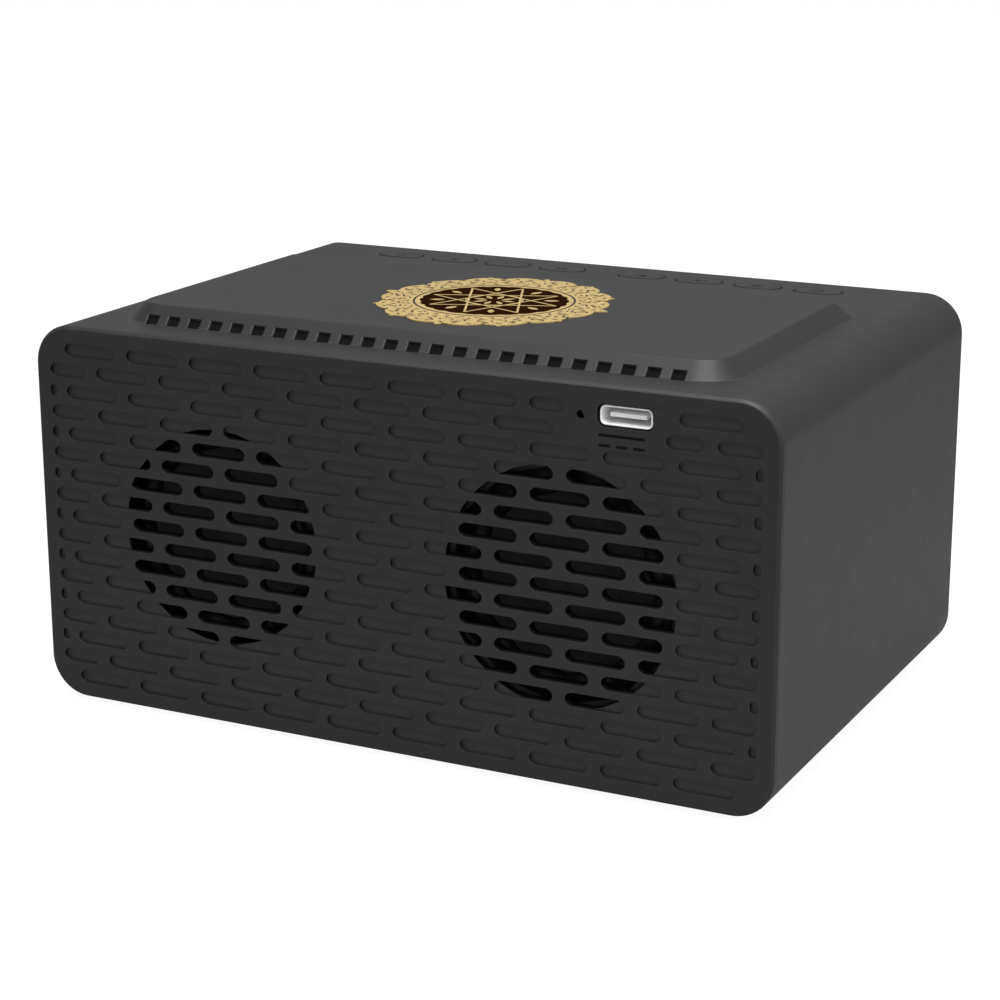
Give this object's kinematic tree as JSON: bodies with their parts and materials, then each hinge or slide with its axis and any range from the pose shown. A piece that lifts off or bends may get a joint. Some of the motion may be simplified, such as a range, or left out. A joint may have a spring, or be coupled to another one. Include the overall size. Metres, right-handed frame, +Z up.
{
  "type": "azan clock",
  "caption": "Box-shaped prayer-time clock: display window in front, grille of staggered slots with two speaker circles, raised deck with a medallion, keys and a power inlet.",
  "frame": {"origin": "on the table plane, under the middle of the body", "axes": "+Z up, -Y towards the display side, +Y towards the speaker grille, +X to the right of someone who reads the display"},
  "size_m": [0.15, 0.1024, 0.0783],
  "materials": {
    "charcoal_shell": "fine matt grain, moulded ABS in charcoal",
    "key_plastic": "fine matt grain",
    "smoked_window": "smoked acrylic, polished",
    "display_module": "black module face with diffused windows",
    "circuit_board": "solder mask, satin",
    "chip_black": "matt moulded package",
    "header_white": "matt nylon",
    "switch_black": "matt",
    "plunger_white": "matt nylon",
    "socket_steel": "bright nickel-plated sheet",
    "cell_steel": "satin",
    "screw_steel": "zinc plated",
    "basket_steel": "black stove enamel",
    "ferrite": "matt sintered ferrite",
    "yoke_steel": "zinc plated",
    "cone_paper": "black pressed paper",
    "coil_copper": "enamelled copper wire",
    "surround_rubber": "matt butyl rubber",
    "gasket_foam": "closed-cell foam",
    "lead_rubber": "flat twin lead, red and black",
    "gold_foil": "printed metallic gold, satin",
    "dark_foil": "printed near-black enamel, satin",
    "foot_rubber": "matt rubber"
  },
  "bodies": {
    "housing": {"board_chips": "chip_black", "board_connectors": "header_white", "coin_cell": "cell_steel", "coin_cell_holder": "switch_black", "colon_module": "display_module", "display_board": "circuit_board", "display_lens": "smoked_window", "front_bezel": "charcoal_shell", "hour_tens_digit": "display_module", "hour_units_digit": "display_module", "key_board": "circuit_board", "main_board": "circuit_board", "main_housing": "charcoal_shell", "medallion_field": "dark_foil", "medallion_plate": "gold_foil", "minute_tens_digit": "display_module", "minute_units_digit": "display_module", "power_board": "circuit_board", "rear_cover": "charcoal_shell", "reset_switch": "switch_black", "rubber_feet": "foot_rubber", "screws": "screw_steel", "socket_shell": "socket_steel", "socket_tongue": "socket_steel", "speaker_leads": "lead_rubber", "speaker_left_basket": "basket_steel", "speaker_left_gasket": "gasket_foam", "speaker_left_magnet": "ferrite", "speaker_left_surround": "surround_rubber", "speaker_left_yoke": "yoke_steel", "speaker_right_basket": "basket_steel", "speaker_right_gasket": "gasket_foam", "speaker_right_magnet": "ferrite", "speaker_right_surround": "surround_rubber", "speaker_right_yoke": "yoke_steel", "tact_switches": "switch_black"},
    "power_key": {"key_power": "key_plastic", "plunger_power": "plunger_white"},
    "mode_key": {"key_mode": "key_plastic", "plunger_mode": "plunger_white"},
    "previous_key": {"key_previous": "key_plastic", "plunger_previous": "plunger_white"},
    "play_key": {"key_play": "key_plastic", "plunger_play": "plunger_white"},
    "next_key": {"key_next": "key_plastic", "plunger_next": "plunger_white"},
    "volume_down_key": {"key_volume_down": "key_plastic", "plunger_volume_down": "plunger_white"},
    "volume_up_key": {"key_volume_up": "key_plastic", "plunger_volume_up": "plunger_white"},
    "set_key": {"key_set": "key_plastic", "plunger_set": "plunger_white"},
    "reset_button": {"reset_plunger": "plunger_white"},
    "left_speaker_cone": {"speaker_left_cone": "cone_paper", "speaker_left_dust_cap": "cone_paper", "speaker_left_voice_coil": "coil_copper"},
    "right_speaker_cone": {"speaker_right_cone": "cone_paper", "speaker_right_dust_cap": "cone_paper", "speaker_right_voice_coil": "coil_copper"}
  },
  "joints": [
    {"name": "power_key_press", "type": "slide", "parent": "housing", "child": "power_key", "axis": [0, 0, -1], "range_m": [0, 0.0005], "stiffness_N_per_m": 2500},
    {"name": "mode_key_press", "type": "slide", "parent": "housing", "child": "mode_key", "axis": [0, 0, -1], "range_m": [0, 0.0005], "stiffness_N_per_m": 2500},
    {"name": "previous_key_press", "type": "slide", "parent": "housing", "child": "previous_key", "axis": [0, 0, -1], "range_m": [0, 0.0005], "stiffness_N_per_m": 2500},
    {"name": "play_key_press", "type": "slide", "parent": "housing", "child": "play_key", "axis": [0, 0, -1], "range_m": [0, 0.0005], "stiffness_N_per_m": 2500},
    {"name": "next_key_press", "type": "slide", "parent": "housing", "child": "next_key", "axis": [0, 0, -1], "range_m": [0, 0.0005], "stiffness_N_per_m": 2500},
    {"name": "volume_down_key_press", "type": "slide", "parent": "housing", "child": "volume_down_key", "axis": [0, 0, -1], "range_m": [0, 0.0005], "stiffness_N_per_m": 2500},
    {"name": "volume_up_key_press", "type": "slide", "parent": "housing", "child": "volume_up_key", "axis": [0, 0, -1], "range_m": [0, 0.0005], "stiffness_N_per_m": 2500},
    {"name": "set_key_press", "type": "slide", "parent": "housing", "child": "set_key", "axis": [0, 0, -1], "range_m": [0, 0.0005], "stiffness_N_per_m": 2500},
    {"name": "reset_press", "type": "slide", "parent": "housing", "child": "reset_button", "axis": [0, -1, 0], "range_m": [0, 0.0003], "stiffness_N_per_m": 2500},
    {"name": "left_cone_throw", "type": "slide", "parent": "housing", "child": "left_speaker_cone", "axis": [0, 1, 0], "range_m": [-0.0008, 0.0008], "stiffness_N_per_m": 1500, "deforming": ["speaker_left_surround"]},
    {"name": "right_cone_throw", "type": "slide", "parent": "housing", "child": "right_speaker_cone", "axis": [0, 1, 0], "range_m": [-0.0008, 0.0008], "stiffness_N_per_m": 1500, "deforming": ["speaker_right_surround"]}
  ]
}
